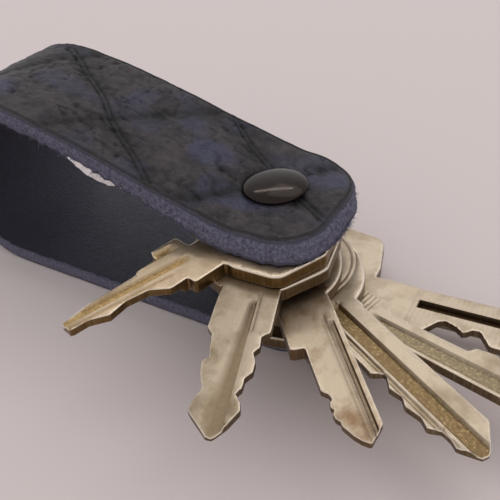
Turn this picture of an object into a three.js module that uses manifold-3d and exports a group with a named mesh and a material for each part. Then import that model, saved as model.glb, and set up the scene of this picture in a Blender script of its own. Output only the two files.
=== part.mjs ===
// Key organiser: a leather strap folded into a loop, clamped by one post and screw, with six flat keys
// fanned out around the post. Millimetres, +Z up. The origin is the middle of the strap's flat underside,
// +X runs along the strap towards the screw, and the post's axis is parallel to Z.
import * as THREE from "three";
import { mergeVertices } from "three/addons/utils/BufferGeometryUtils.js";
import Module from "manifold-3d";

const wasm = await Module();
wasm.setup();

// ---- Driving dimensions ----

// Strap
const STRAP_WIDTH = 25;
const LEATHER = 3.1;
const END_MARGIN = 11.4; // post axis to the strap's end
const BEND_OFFSET = 50; // post axis back to where the fold's round part starts
const LOOP_HEIGHT = 34.5; // outside height of the fold
const NEAR_CORNER_RADIUS = 7;
const FAR_CORNER_RADIUS = 11;
const CLAMP_START = 1; // flat leather behind the post axis, before the upper leaf rises
const CREST_HANDLE = 12; // how slowly the upper leaf leaves the crest of the fold
const DIP_HANDLE = 4; // how sharply it flattens at the clamp

// Post, screw and washers
const BARREL_RADIUS = 2.5;
const CAP_RADIUS = 5.15;
const CAP_RIM = 0.45;
const CAP_DOME = 0.85;
const SCREW_RADIUS = 1.5;
const SCREW_HEAD_RADIUS = 5;
const SCREW_HEAD_THICKNESS = 1.1;
const SCREW_THREAD_LENGTH = 7;
const BORE_BEYOND = 1; // depth of the post's bore past the screw's tip
const DRIVER_SLOT_WIDTH = 1;
const DRIVER_SLOT_DEPTH = 0.5;
const SCREW_HEAD_LOW = 0.1; // sunk a little, so that the leather carries the weight
const WASHER_RADIUS = 5.6;
const THIN_WASHER = 0.3;
const SPACER = 0.55;
const SPACER_COUNT = 2; // between the upper two keys and the lower four

// Keys
const KEY_THICKNESS = 2.2;
const UPPER_KEYS = 2;
const REBATE_START = 1; // from a key's collar to where its blade gets thinner

// Clearances
const STACK_GAP = 0.08; // between faces that slide on each other
const HOLE_CLEARANCE = 0.3; // key and washer bores around the barrel
const LEATHER_CLEARANCE = 0.15; // punched holes and the seat of the screw's head
const THREAD_CLEARANCE = 0.15;

// How finely curves are drawn
const ROUND = 48; // sides of a round piece
const BEND_STEPS = 32;
const FALL_STEPS = 24;
const CORNER_STEPS = 12;

const OVERCUT = 1; // how far a cutter passes the face it cuts

// Shapes given as shares
const DOME_SHARES = [1, 0.94, 0.8, 0.55, 0.28, 0]; // of the cap's radius, where the dome has a ring
const DOME_REACH = 0.98; // how much of an ellipse the dome is: 1 would stand upright at its rim
const POINT_SHARE = 0.9; // how far a blade's point narrows, as a share of its length
const BOW_FRONT = 0.4; // half width of an angular bow's front, as a share of its full half width
// An angular bow behind its shoulder: share of its length, share of its half width.
const BOW_SHAPE = [[0, 0.82], [0.05, 0.9], [0.42, 1], [0.58, 0.88], [0.86, 0.76], [1, 0.36]];

// ---- Materials ----

const leather = new THREE.MeshStandardMaterial({ color: 0x3b3a45, roughness: 0.7, metalness: 0 });
const gunmetal = new THREE.MeshStandardMaterial({ color: 0x3f3836, roughness: 0.3, metalness: 1 });
const washerSteel = new THREE.MeshStandardMaterial({ color: 0x4a4847, roughness: 0.4, metalness: 1 });
const nickelSilver = new THREE.MeshStandardMaterial({ color: 0xc9b49a, roughness: 0.35, metalness: 1 });
const brass = new THREE.MeshStandardMaterial({ color: 0xbd9f78, roughness: 0.4, metalness: 1 });

// ---- Solids ----

function solidOf(geometry) {
  const bare = new THREE.BufferGeometry().setAttribute("position", geometry.getAttribute("position"));
  if (geometry.index) bare.setIndex(geometry.index);
  const merged = mergeVertices(bare, 1e-4);
  return new wasm.Manifold(
    new wasm.Mesh({
      numProp: 3,
      vertProperties: new Float32Array(merged.attributes.position.array),
      triVerts: new Uint32Array(merged.index.array),
    }),
  );
}

function geometryOf(solid) {
  const mesh = solid.getMesh();
  const geometry = new THREE.BufferGeometry();
  geometry.setAttribute("position", new THREE.BufferAttribute(mesh.vertProperties, 3));
  geometry.setIndex(new THREE.BufferAttribute(mesh.triVerts, 1));
  const flat = geometry.toNonIndexed();
  flat.computeVertexNormals();
  return flat;
}

function meshOf(name, solid, material) {
  const mesh = new THREE.Mesh(geometryOf(solid), material);
  mesh.name = name;
  return mesh;
}

// A plate standing on z = low, from an outline of [x, y] points.
function plate(outline, low, thickness) {
  const shape = new THREE.Shape(outline.map(([x, y]) => new THREE.Vector2(x, y)));
  const geometry = new THREE.ExtrudeGeometry(shape, { depth: thickness, bevelEnabled: false });
  return solidOf(geometry.translate(0, 0, low));
}

function disc(radius, low, thickness) {
  const geometry = new THREE.CylinderGeometry(radius, radius, thickness, ROUND);
  return solidOf(geometry.rotateX(Math.PI / 2).translate(0, 0, low + thickness / 2));
}

function block(lengthX, lengthY, lengthZ, x, y, z) {
  return solidOf(new THREE.BoxGeometry(lengthX, lengthY, lengthZ).translate(x, y, z));
}

// A solid of revolution about Z, from [radius, z] points that start and end on the axis.
function turned(profile) {
  const points = profile.map(([radius, z]) => new THREE.Vector2(radius, z));
  return solidOf(new THREE.LatheGeometry(points, ROUND).rotateX(Math.PI / 2));
}

// ---- Heights of everything on the post, from the table up ----

function stackLevels() {
  const levels = { keys: [], spacers: [] };
  let z = LEATHER + STACK_GAP;
  levels.lowerWasher = z;
  z += THIN_WASHER + STACK_GAP;
  const lowerKeys = KEYS.length - UPPER_KEYS;
  for (let i = 0; i < KEYS.length; i += 1) {
    if (i === lowerKeys) {
      for (let s = 0; s < SPACER_COUNT; s += 1) {
        levels.spacers.push(z);
        z += SPACER + STACK_GAP;
      }
    }
    levels.keys.push(z);
    z += KEY_THICKNESS + STACK_GAP;
  }
  levels.upperWasher = z;
  z += THIN_WASHER + STACK_GAP;
  levels.upperLeaf = z;
  return levels;
}

// ---- Keys, from the bottom of the stack to the top ----
// x runs from the post along the blade and y to its left. Each bitting list holds [x, depth] along one
// edge, a groove is a channel in the upper face, and a rebate thins the blade from below between one edge
// and a line along it.

const KEYS = [
  {
    name: "wide_head_key",
    material: nickelSilver,
    swing: 3.4,
    head: { kind: "angular", halfWidth: 15.7, front: 15.3, slope: 1.6, back: -8.5 },
    collar: { to: 22.5, left: 3.9, right: -5.6 },
    blade: { left: 3.6, right: -5.4, tip: 45.5, point: 3 },
    bitting: {
      right: [[25.6, 0], [27.3, 2.6], [28.3, 3.2], [30, 2.5], [31.3, 1.5], [32.4, 2.7], [33.4, 2.8], [35.3, 0.2],
        [37, 0.2], [38.6, 2.4], [40.2, 2.4], [42, 0.6]],
    },
    grooves: [{ from: 23.4, to: 46, y: -0.1, width: 1.7, depth: 0.7 }],
    rebates: [{ side: "right", to: -1.8, depth: 1 }],
  },
  {
    name: "slim_key",
    material: nickelSilver,
    swing: -12.5,
    head: { kind: "oval", alongX: 10.5, alongY: 9.5, middleX: 2, middleY: -1 },
    collar: { to: 18, left: 1.9, right: -4.8 },
    blade: { left: 1.8, right: -4.8, tip: 48, point: 3 },
    bitting: {
      left: [[20.5, 0], [22, 1.9], [34.4, 1.8], [35, 0.6], [38, 0.1], [39.5, 1.6], [42, 1.6], [43.5, 0.3]],
    },
    grooves: [{ from: 22, to: 49, y: -2.9, width: 1.9, depth: 0.7 }],
    rebates: [{ side: "right", to: -3.6, depth: 0.6 }],
  },
  {
    name: "round_head_key",
    material: nickelSilver,
    swing: -29.6,
    head: { kind: "oval", alongX: 15, alongY: 11.5, middleX: 3.2, middleY: -1.1 },
    collar: { to: 19.4, left: 2.8, right: -5 },
    blade: { left: 2.4, right: -4.8, tip: 47.6, point: 3.4 },
    bitting: {
      right: [[28.5, 0.2], [30.4, 0.1], [31.4, 1.8], [33.7, 0.5], [35.6, 1], [37, 0.3], [39.4, 0.8], [41.1, 0.3],
        [42.3, 1.6], [43.8, 1.6], [45, 1.3], [47.6, 3]],
    },
    grooves: [{ from: 15.6, to: 48.5, y: -1.4, width: 1.9, depth: 0.8 }],
    rebates: [{ side: "right", to: -2.6, depth: 1.2 }],
  },
  {
    name: "small_flat_key",
    material: nickelSilver,
    swing: -48.7,
    head: { kind: "oval", alongX: 12.5, alongY: 8.6, middleX: 4.4, middleY: 0 },
    collar: { to: 25.6, left: 3.8, right: -4.1 },
    blade: { left: 3.8, right: -2.1, tip: 42.4, point: 2.4 },
    bitting: {
      right: [[33.4, 0.1], [35, 1.1], [36.2, 0.6], [38, 0.7], [40, 1.5], [41.8, 2.8], [42.4, 3.6]],
    },
    grooves: [{ from: 21.3, to: 43.5, y: 2.9, width: 0.7, depth: 0.6 }],
    rebates: [{ side: "right", to: 1.6, depth: 1.3 }],
  },
  {
    name: "double_bitted_key",
    material: nickelSilver,
    swing: -70.4,
    head: { kind: "angular", halfWidth: 11.4, middleY: -0.9, front: 17.2, slope: 4.2, back: -8 },
    collar: { to: 18.8, left: 3.4, right: -5.2 },
    blade: { left: 3.4, right: -5.2, tip: 42.8, point: 3.6 },
    bitting: {
      left: [[25.8, 0], [26.6, 1.05], [28.6, 0.9], [29.5, 1.6], [31.1, 1], [32.8, 1], [33.9, 1.8], [35.5, 1.8],
        [36.3, 2.5], [37.6, 1.6], [38.8, 1.3], [41, 2.4], [42.8, 3.8]],
      right: [[25.6, 0], [26.8, 0.9], [29.3, 1.2], [31.1, 1.6], [31.5, 0.7], [33.7, 1.1], [36.1, 1.9],
        [38.5, 1.2], [39.6, 1.1], [42.8, 4]],
    },
    grooves: [{ from: 20, to: 44, y: -0.8, width: 1.3, depth: 0.8 }],
    rebates: [{ side: "left", to: 0.4, depth: 1.3 }, { side: "right", to: -2.2, depth: 1.3 }],
  },
  {
    name: "double_groove_key",
    material: brass,
    swing: -104.8,
    head: { kind: "angular", halfWidth: 14.1, rightShare: 0.62, front: 15, slope: 1.8, back: -7.6 },
    collar: { to: 20.6, left: 4.2, right: -6.2 },
    notch: { from: 14.3, to: 15.6, right: -3.2 }, // the gap between the head and the far stop
    blade: { left: 2.6, right: -4.7, tip: 37.8, point: 1 },
    bitting: {
      left: [[23.7, 0], [25.9, 2.1], [29.4, 2.7], [32.5, 2.1], [35.1, 3.5], [37.8, 3.6]],
      right: [[23.8, 0], [25.3, 1.1], [37.8, 1.1]],
    },
    grooves: [
      { from: 17.7, to: 39, y: -2, width: 0.9, depth: 0.6 },
      { from: 21.5, to: 39, y: -0.6, width: 0.4, depth: 0.4 },
    ],
    rebates: [{ side: "left", to: -1, depth: 1 }],
  },
];

function angularHead({ halfWidth, rightShare = 1, middleY = 0, front, slope, back }) {
  const shoulder = front - slope;
  const length = shoulder - back;
  const behind = BOW_SHAPE.map(([along, across]) => [shoulder - length * along, halfWidth * across]);
  const half = [[front, halfWidth * BOW_FRONT], ...behind];
  const mirrored = half.map(([x, y]) => [x, -y * rightShare]).reverse();
  return [...half, ...mirrored].map(([x, y]) => [x, y + middleY]);
}

function ovalHead({ alongX, alongY, middleX, middleY }) {
  return Array.from({ length: ROUND }, (_, i) => {
    const turn = (2 * Math.PI * i) / ROUND;
    return [middleX + alongX * Math.cos(turn), middleY + alongY * Math.sin(turn)];
  });
}

// A cutter right through a key's thickness, from an outline of [x, y] points.
function throughCut(outline) {
  return plate(outline, -OVERCUT, KEY_THICKNESS + 2 * OVERCUT);
}

// The metal taken off one edge of a blade: everything outside the bitting's line.
function bittingCutter(cuts, edge, outward) {
  const beyond = edge + outward * OVERCUT;
  const line = cuts.map(([x, depth]) => [x, edge - outward * depth]);
  const first = cuts[0][0];
  const last = cuts[cuts.length - 1][0];
  return throughCut([[first, beyond], ...line, [last, beyond]]);
}

function keySolid({ head, collar, notch, blade, bitting, grooves, rebates }) {
  const headOutline = head.kind === "oval" ? ovalHead(head) : angularHead(head);
  const bladeOutline = [
    [0, blade.right],
    [blade.tip - blade.point, blade.right],
    [blade.tip, blade.right + blade.point * POINT_SHARE],
    [blade.tip, blade.left - blade.point * POINT_SHARE],
    [blade.tip - blade.point, blade.left],
    [0, blade.left],
  ];
  const collarOutline = [[0, collar.right], [collar.to, collar.right], [collar.to, collar.left], [0, collar.left]];
  let solid = plate(headOutline, 0, KEY_THICKNESS)
    .add(plate(collarOutline, 0, KEY_THICKNESS))
    .add(plate(bladeOutline, 0, KEY_THICKNESS));
  if (notch) {
    const beyond = collar.right - OVERCUT;
    const gap = [[notch.from, notch.right], [notch.to, notch.right], [notch.to, beyond], [notch.from, beyond]];
    solid = solid.subtract(throughCut(gap));
  }
  if (bitting.left) solid = solid.subtract(bittingCutter(bitting.left, blade.left, 1));
  if (bitting.right) solid = solid.subtract(bittingCutter(bitting.right, blade.right, -1));
  for (const { from, to, y, width, depth } of grooves) {
    const cutter = block(to - from, width, depth * 2, (from + to) / 2, y, KEY_THICKNESS);
    solid = solid.subtract(cutter);
  }
  for (const { side, to, depth } of rebates) {
    const beyond = side === "left" ? blade.left + OVERCUT : blade.right - OVERCUT;
    const from = collar.to + REBATE_START;
    const until = blade.tip + OVERCUT;
    const width = Math.abs(beyond - to);
    const cutter = block(until - from, width, depth * 2, (from + until) / 2, (beyond + to) / 2, 0);
    solid = solid.subtract(cutter);
  }
  return solid.subtract(disc(BARREL_RADIUS + HOLE_CLEARANCE, -OVERCUT, KEY_THICKNESS + 2 * OVERCUT));
}

// ---- Strap ----

// The middle line of the folded leather in the XZ plane, from the lower leaf's end round to the upper one's.
function strapLine(upperLeaf) {
  const half = LEATHER / 2;
  const crest = LOOP_HEIGHT - half;
  const bendRadius = (crest - half) / 2;
  const clampStart = -CLAMP_START;
  const clampZ = upperLeaf + half;
  const lower = new THREE.LineCurve(new THREE.Vector2(END_MARGIN, half), new THREE.Vector2(-BEND_OFFSET, half));
  const bend = new THREE.EllipseCurve(
    -BEND_OFFSET, half + bendRadius, bendRadius, bendRadius, -Math.PI / 2, -1.5 * Math.PI, true,
  );
  const fall = new THREE.CubicBezierCurve(
    new THREE.Vector2(-BEND_OFFSET, crest),
    new THREE.Vector2(CREST_HANDLE - BEND_OFFSET, crest),
    new THREE.Vector2(clampStart - DIP_HANDLE, clampZ),
    new THREE.Vector2(clampStart, clampZ),
  );
  const end = new THREE.Vector2(END_MARGIN, clampZ);
  const rising = bend.getPoints(BEND_STEPS).slice(1);
  const falling = fall.getPoints(FALL_STEPS).slice(1);
  return [...lower.getPoints(1), ...rising, ...falling, end];
}

// The line thickened to the leather: each point moved half a thickness to both sides.
function strapSide(upperLeaf) {
  const line = strapLine(upperLeaf);
  const inner = [];
  const outer = [];
  line.forEach((point, i) => {
    const before = line[Math.max(i - 1, 0)];
    const after = line[Math.min(i + 1, line.length - 1)];
    const along = after.clone().sub(before).normalize();
    const normal = new THREE.Vector2(along.y, -along.x).multiplyScalar(LEATHER / 2);
    outer.push(point.clone().sub(normal));
    inner.push(point.clone().add(normal));
  });
  return [...outer, ...inner.reverse()];
}

// The strap seen from above: square where the fold is, rounded at the leaves' ends.
function strapPlan() {
  const half = STRAP_WIDTH / 2;
  const left = -BEND_OFFSET - LOOP_HEIGHT;
  const right = END_MARGIN;
  const near = Math.min(NEAR_CORNER_RADIUS, half);
  const far = Math.min(FAR_CORNER_RADIUS, half);
  const shape = new THREE.Shape();
  shape.moveTo(left, -half);
  shape.lineTo(right - near, -half);
  shape.absarc(right - near, -half + near, near, -Math.PI / 2, 0, false);
  shape.absarc(right - far, half - far, far, 0, Math.PI / 2, false);
  shape.lineTo(left, half);
  return shape;
}

function strapSolid(upperLeaf) {
  const side = new THREE.ExtrudeGeometry(new THREE.Shape(strapSide(upperLeaf)), {
    depth: STRAP_WIDTH + 2 * OVERCUT,
    bevelEnabled: false,
  });
  side.translate(0, 0, -STRAP_WIDTH / 2 - OVERCUT).rotateX(Math.PI / 2);
  const plan = new THREE.ExtrudeGeometry(strapPlan(), {
    depth: LOOP_HEIGHT + 2 * OVERCUT,
    bevelEnabled: false,
    curveSegments: CORNER_STEPS,
  });
  const seatTop = SCREW_HEAD_LOW + SCREW_HEAD_THICKNESS + LEATHER_CLEARANCE;
  const punched = disc(BARREL_RADIUS + LEATHER_CLEARANCE, -OVERCUT, LOOP_HEIGHT);
  const seat = disc(SCREW_HEAD_RADIUS + LEATHER_CLEARANCE, -OVERCUT, seatTop + OVERCUT);
  const pressed = disc(CAP_RADIUS + LEATHER_CLEARANCE, upperLeaf + LEATHER, LOOP_HEIGHT);
  return solidOf(side)
    .intersect(solidOf(plan.translate(0, 0, -OVERCUT)))
    .subtract(punched)
    .subtract(seat)
    .subtract(pressed);
}

// ---- Post, screw and washers ----

// Height of the dome above its rim, at a share of the cap's radius.
function domeHeight(share) {
  return CAP_DOME * (Math.sqrt(1 - DOME_REACH * share * share) - Math.sqrt(1 - DOME_REACH));
}

function postSolid(upperLeaf) {
  const capLow = upperLeaf + LEATHER + STACK_GAP;
  const barrelLow = SCREW_HEAD_LOW + SCREW_HEAD_THICKNESS + LEATHER_CLEARANCE;
  const dome = DOME_SHARES.map((share) => [CAP_RADIUS * share, capLow + CAP_RIM + domeHeight(share)]);
  const whole = turned([
    [0, barrelLow],
    [BARREL_RADIUS, barrelLow],
    [BARREL_RADIUS, capLow],
    [CAP_RADIUS, capLow],
    ...dome,
  ]);
  const boreDepth = SCREW_THREAD_LENGTH + BORE_BEYOND;
  return whole.subtract(disc(SCREW_RADIUS + THREAD_CLEARANCE, barrelLow - OVERCUT, OVERCUT + boreDepth));
}

function screwSolid() {
  const headTop = SCREW_HEAD_LOW + SCREW_HEAD_THICKNESS;
  const whole = turned([
    [0, SCREW_HEAD_LOW],
    [SCREW_HEAD_RADIUS, SCREW_HEAD_LOW],
    [SCREW_HEAD_RADIUS, headTop],
    [SCREW_RADIUS, headTop],
    [SCREW_RADIUS, headTop + SCREW_THREAD_LENGTH],
    [0, headTop + SCREW_THREAD_LENGTH],
  ]);
  const slotLength = 2 * (SCREW_HEAD_RADIUS + OVERCUT);
  return whole.subtract(block(slotLength, DRIVER_SLOT_WIDTH, DRIVER_SLOT_DEPTH * 2, 0, 0, SCREW_HEAD_LOW));
}

function washerSolid(radius, thickness) {
  const bore = disc(BARREL_RADIUS + HOLE_CLEARANCE, -OVERCUT, thickness + 2 * OVERCUT);
  return disc(radius, 0, thickness).subtract(bore);
}

// ---- Assembly: everything on the post shares its axis ----

const levels = stackLevels();
const onPost = new THREE.Group();
onPost.position.x = (BEND_OFFSET - END_MARGIN) / 2; // the origin is midway along the flat underside

onPost.add(meshOf("strap", strapSolid(levels.upperLeaf), leather));
onPost.add(meshOf("post", postSolid(levels.upperLeaf), gunmetal));
onPost.add(meshOf("screw", screwSolid(), gunmetal));

const washers = [
  ["lower_washer", THIN_WASHER, levels.lowerWasher],
  ["upper_washer", THIN_WASHER, levels.upperWasher],
  ...levels.spacers.map((z, i) => [`spacer_${i + 1}`, SPACER, z]),
];
for (const [name, thickness, z] of washers) {
  const mesh = meshOf(name, washerSolid(WASHER_RADIUS, thickness), washerSteel);
  mesh.position.z = z;
  onPost.add(mesh);
}

KEYS.forEach((key, i) => {
  const mesh = meshOf(key.name, keySolid(key), key.material);
  mesh.position.z = levels.keys[i];
  mesh.rotation.z = THREE.MathUtils.degToRad(key.swing);
  onPost.add(mesh);
});

const keyOrganiser = new THREE.Group();
keyOrganiser.add(onPost);

export default keyOrganiser;
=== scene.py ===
"""Looks of the key organiser: an embossed leather strap folded into a loop, a black domed cap and its screw
at the open ends, and six worn keys fanned out round the post. In the CAD's own frame, +Z up. Sizes are in
millimetres, apart from the camera's, the floor's and the lights' places, which are in metres."""

import math

import bpy
import numpy as np
from mathutils import Matrix, Vector
from mathutils.geometry import delaunay_2d_cdt


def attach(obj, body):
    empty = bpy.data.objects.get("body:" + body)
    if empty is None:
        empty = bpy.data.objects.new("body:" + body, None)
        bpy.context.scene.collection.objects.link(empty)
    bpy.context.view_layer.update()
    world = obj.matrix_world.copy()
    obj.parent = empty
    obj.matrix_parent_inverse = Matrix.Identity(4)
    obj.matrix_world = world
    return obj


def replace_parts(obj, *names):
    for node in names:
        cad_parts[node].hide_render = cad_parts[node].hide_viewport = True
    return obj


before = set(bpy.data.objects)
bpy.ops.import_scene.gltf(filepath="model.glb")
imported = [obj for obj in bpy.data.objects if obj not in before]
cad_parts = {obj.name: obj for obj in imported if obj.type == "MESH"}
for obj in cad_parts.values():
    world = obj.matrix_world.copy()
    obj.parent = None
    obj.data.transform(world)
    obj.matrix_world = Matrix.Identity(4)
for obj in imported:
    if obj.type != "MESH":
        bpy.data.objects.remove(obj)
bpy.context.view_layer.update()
MM = 0.001

# ---- Sizes repeated from the CAD, in millimetres ----

PIVOT_X = 19.3  # the post's axis, which the strap and the keys are set out from
STRAP_WIDTH = 25.0
LEATHER = 3.1
END_MARGIN = 11.4  # from the post to either end of the strap
BEND_OFFSET = 50.0  # from the post back to the start of the fold
LOOP_HEIGHT = 34.5
NEAR_CORNER = 7.0  # radius of the ends' corners, on the side where y is negative
FAR_CORNER = 11.0
CLAMP_START = 1.0  # behind the post, where the upper leaf gets level
CREST_HANDLE = 12.0
DIP_HANDLE = 4.0
UPPER_LEAF = 18.88  # the underside of the upper leaf
CAP_LOW = 22.06
CAP_RADIUS = 5.15
BARREL_RADIUS = 2.5
PUNCHED_RADIUS = 2.65
SEAT_DEPTH = 1.35  # of the screw's recess in the lower leaf
KEY_THICKNESS = 2.2
KEY_BORE = 2.8
REBATE_START = 1.0  # from a key's collar to where its blade gets thinner

# ---- Camera ----

CAMERA_AZIMUTH = math.radians(34.62)
CAMERA_ELEVATION = math.radians(36.88)
CAMERA_ROLL = math.radians(-6.18)
CAMERA_PLACE = (0.06656, -0.07713, 0.07818)  # metres
SENSOR_WIDTH = 36.0
FOCAL_LENGTH = 49.33


def aimed(azimuth, elevation, roll):
    """The camera's axes as a matrix: the view direction from two angles, then turned about itself by roll."""
    back = Vector((
        math.sin(azimuth) * math.cos(elevation),
        -math.cos(azimuth) * math.cos(elevation),
        math.sin(elevation),
    ))
    right = (-back).cross(Vector((0, 0, 1))).normalized()
    up = right.cross(-back)
    across = math.cos(roll) * right + math.sin(roll) * up
    upward = -math.sin(roll) * right + math.cos(roll) * up
    return Matrix((across, upward, back)).transposed()


lens = bpy.data.cameras.new("camera")
lens.sensor_width = SENSOR_WIDTH
lens.lens = FOCAL_LENGTH
lens.clip_start = 0.005
camera = bpy.data.objects.new("camera", lens)
bpy.context.scene.collection.objects.link(camera)
camera.matrix_world = Matrix.Translation(CAMERA_PLACE) @ aimed(
    CAMERA_AZIMUTH, CAMERA_ELEVATION, CAMERA_ROLL
).to_4x4()
bpy.context.scene.camera = camera

# ---- Small tools ----


def srgb(code):
    """A hex colour such as 'c8b49a' as linear red, green, blue and 1."""
    values = np.array([int(code[i:i + 2], 16) for i in (0, 2, 4)]) / 255
    linear = np.where(values <= 0.04045, values / 12.92, ((values + 0.055) / 1.055) ** 2.4)
    return (*linear.tolist(), 1.0)


def fill(material, made, inputs):
    """Sets a node's inputs, given by name, by number or in order, and links those that are an output."""
    pairs = inputs.items() if isinstance(inputs, dict) else enumerate(inputs)
    for label, value in pairs:
        if isinstance(value, bpy.types.NodeSocket):
            material.node_tree.links.new(value, made.inputs[label])
        else:
            made.inputs[label].default_value = value


def node(material, kind, inputs=(), out=0, **settings):
    """Adds one node with its settings and inputs, and gives the output that is asked for."""
    made = material.node_tree.nodes.new(kind)
    for label, value in settings.items():
        setattr(made, label, value)
    fill(material, made, inputs)
    return made.outputs[out]


MIX_FACTOR, MIX_UNDER, MIX_OVER, MIX_OUT = 0, 6, 7, 2  # the colour sockets of a Mix node


def coat(material, under, over, pattern, low=0.0, high=1.0, share=1.0):
    """A colour laid over another: none of it where the pattern is at low, its full share where at high."""
    amount = node(material, "ShaderNodeMapRange", [pattern, low, high, 0.0, share])
    layers = {MIX_FACTOR: amount, MIX_UNDER: under, MIX_OVER: over}
    return node(material, "ShaderNodeMix", layers, MIX_OUT, data_type="RGBA")


def new_material(name):
    """A new material and its surface node."""
    material = bpy.data.materials.new(name)
    material.use_nodes = True
    return material, material.node_tree.nodes["Principled BSDF"]


def smooth(x, low, high):
    """0 below low, 1 above high, and a smooth rise between."""
    t = np.clip((x - low) / (high - low), 0, 1)
    return t * t * (3 - 2 * t)


LATTICE = 128  # random values each way, before they repeat
LATTICE_SHIFT = 40  # moves the origin in from the table's edge


def lumps(x, y, size, seed):
    """Smooth random heights from -1 to 1: random values on a lattice of that size, blended between."""
    table = np.random.default_rng(seed).uniform(-1, 1, (LATTICE, LATTICE))
    u = x / size + LATTICE_SHIFT
    v = y / size + LATTICE_SHIFT
    i = np.floor(u).astype(int)
    j = np.floor(v).astype(int)
    a = u - i
    b = v - j
    a = a * a * (3 - 2 * a)
    b = b * b * (3 - 2 * b)
    i0, i1, j0, j1 = i % LATTICE, (i + 1) % LATTICE, j % LATTICE, (j + 1) % LATTICE
    low = table[i0, j0] * (1 - a) + table[i1, j0] * a
    high = table[i0, j1] * (1 - a) + table[i1, j1] * a
    return low * (1 - b) + high * b


def piece(name, points, faces, material, body, attributes=None, sharp=40):
    """A mesh from points in millimetres and rows of corner numbers, riding on a body of the frame."""
    mesh = bpy.data.meshes.new(name)
    mesh.from_pydata((np.asarray(points) * MM).tolist(), [], faces)
    mesh.polygons.foreach_set("use_smooth", np.ones(len(mesh.polygons), dtype=bool))
    mesh.set_sharp_from_angle(angle=math.radians(sharp))
    for label, values in (attributes or {}).items():
        values = np.asarray(values, dtype=np.float32)
        kind, key = ("FLOAT_VECTOR", "vector") if values.ndim == 2 else ("FLOAT", "value")
        mesh.attributes.new(label, kind, "POINT").data.foreach_set(key, values.ravel())
    mesh.materials.append(material)
    mesh.update()
    made = bpy.data.objects.new(name, mesh)
    bpy.context.scene.collection.objects.link(made)
    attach(made, body)
    return made


def lattice(rows, columns, wrap=False):
    """Corner numbers of the quads of a grid of points, the last column joined to the first if wrap."""
    i, j = np.meshgrid(np.arange(rows - 1), np.arange(columns if wrap else columns - 1), indexing="ij")
    k = (j + 1) % columns
    quads = np.stack([i * columns + j, i * columns + k, (i + 1) * columns + k, (i + 1) * columns + j], -1)
    return quads.reshape(-1, 4)


# ---- Floor and light ----

floor_material, surface = new_material("painted_board")  # matt pale board, faintly warm
fill(floor_material, surface, {"Base Color": srgb("cdc3c1"), "Roughness": 0.9, "Specular IOR Level": 0.15})
FLOOR_HALF = 3  # metres
floor_mesh = bpy.data.meshes.new("floor")
floor_corners = [(FLOOR_HALF * x, FLOOR_HALF * y, 0) for x, y in ((-1, -1), (1, -1), (1, 1), (-1, 1))]
floor_mesh.from_pydata(floor_corners, [], [(0, 1, 2, 3)])
floor_mesh.materials.append(floor_material)
floor = bpy.data.objects.new("floor", floor_mesh)
bpy.context.scene.collection.objects.link(floor)

world = bpy.data.worlds.new("studio")
bpy.context.scene.world = world
world.use_nodes = True
fill(world, world.node_tree.nodes["Background"], {"Color": srgb("fbf8fa"), "Strength": 0.93})
bpy.context.scene.view_settings.view_transform = "Standard"


def softbox(name, place, target, width, height, power, colour):
    """A rectangular area light that faces the target, in metres and watts."""
    lamp = bpy.data.lights.new(name, "AREA")
    lamp.shape = "RECTANGLE"
    lamp.size = width
    lamp.size_y = height
    lamp.energy = power
    lamp.color = srgb(colour)[:3]
    made = bpy.data.objects.new(name, lamp)
    bpy.context.scene.collection.objects.link(made)
    made.location = place
    made.rotation_euler = (Vector(target) - Vector(place)).to_track_quat("-Z", "Y").to_euler()


softbox("back_softbox", (0.05, 0.82, 1.16), (0, 0, 0), 1.3, 0.6, 2.25, "fffcf8")
softbox("window_strip", (-0.46, 0.69, 0.89), (0, 0, 0.02), 0.6, 0.04, 0.62, "ffffff")

# ---- Strap ----


def strap_line():
    """Length along the middle of the leather, its x and z, and the outward normal, every 0.05 mm or so:
    straight lower leaf, half circle, falling Bezier curve and straight clamped end."""
    half = LEATHER / 2
    crest = LOOP_HEIGHT - half
    radius = (crest - half) / 2
    clamp = UPPER_LEAF + half
    start = -CLAMP_START
    lower = np.stack([np.linspace(END_MARGIN, -BEND_OFFSET, 1200), np.full(1200, half)], 1)
    turn = np.linspace(-np.pi / 2, -1.5 * np.pi, 1000)[1:]
    bend = np.stack([-BEND_OFFSET + radius * np.cos(turn), half + radius * (1 + np.sin(turn))], 1)
    t = np.linspace(0, 1, 1200)[1:, None]
    handles = np.array([
        (-BEND_OFFSET, crest),
        (CREST_HANDLE - BEND_OFFSET, crest),
        (start - DIP_HANDLE, clamp),
        (start, clamp),
    ])
    fall = (
        (1 - t) ** 3 * handles[0] + 3 * (1 - t) ** 2 * t * handles[1]
        + 3 * (1 - t) * t ** 2 * handles[2] + t ** 3 * handles[3]
    )
    end = np.stack([np.linspace(start, END_MARGIN, 250)[1:], np.full(249, clamp)], 1)
    line = np.vstack([lower, bend, fall, end])
    length = np.r_[0, np.cumsum(np.hypot(*np.diff(line, axis=0).T))]
    along = np.gradient(line, length, axis=0)
    along /= np.linalg.norm(along, axis=1)[:, None]
    return length, line, np.stack([-along[:, 1], along[:, 0]], 1)


LINE_LENGTH, LINE, LINE_NORMAL = strap_line()
STRAP_LENGTH = LINE_LENGTH[-1]


def on_strap(s, w, height):
    """The point of the folded strap at s along it, w across it and that height outward from its middle."""
    x = np.interp(s, LINE_LENGTH, LINE[:, 0])
    z = np.interp(s, LINE_LENGTH, LINE[:, 1])
    nx = np.interp(s, LINE_LENGTH, LINE_NORMAL[:, 0])
    nz = np.interp(s, LINE_LENGTH, LINE_NORMAL[:, 1])
    return np.stack([x + nx * height + PIVOT_X, w, z + nz * height], -1)


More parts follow.
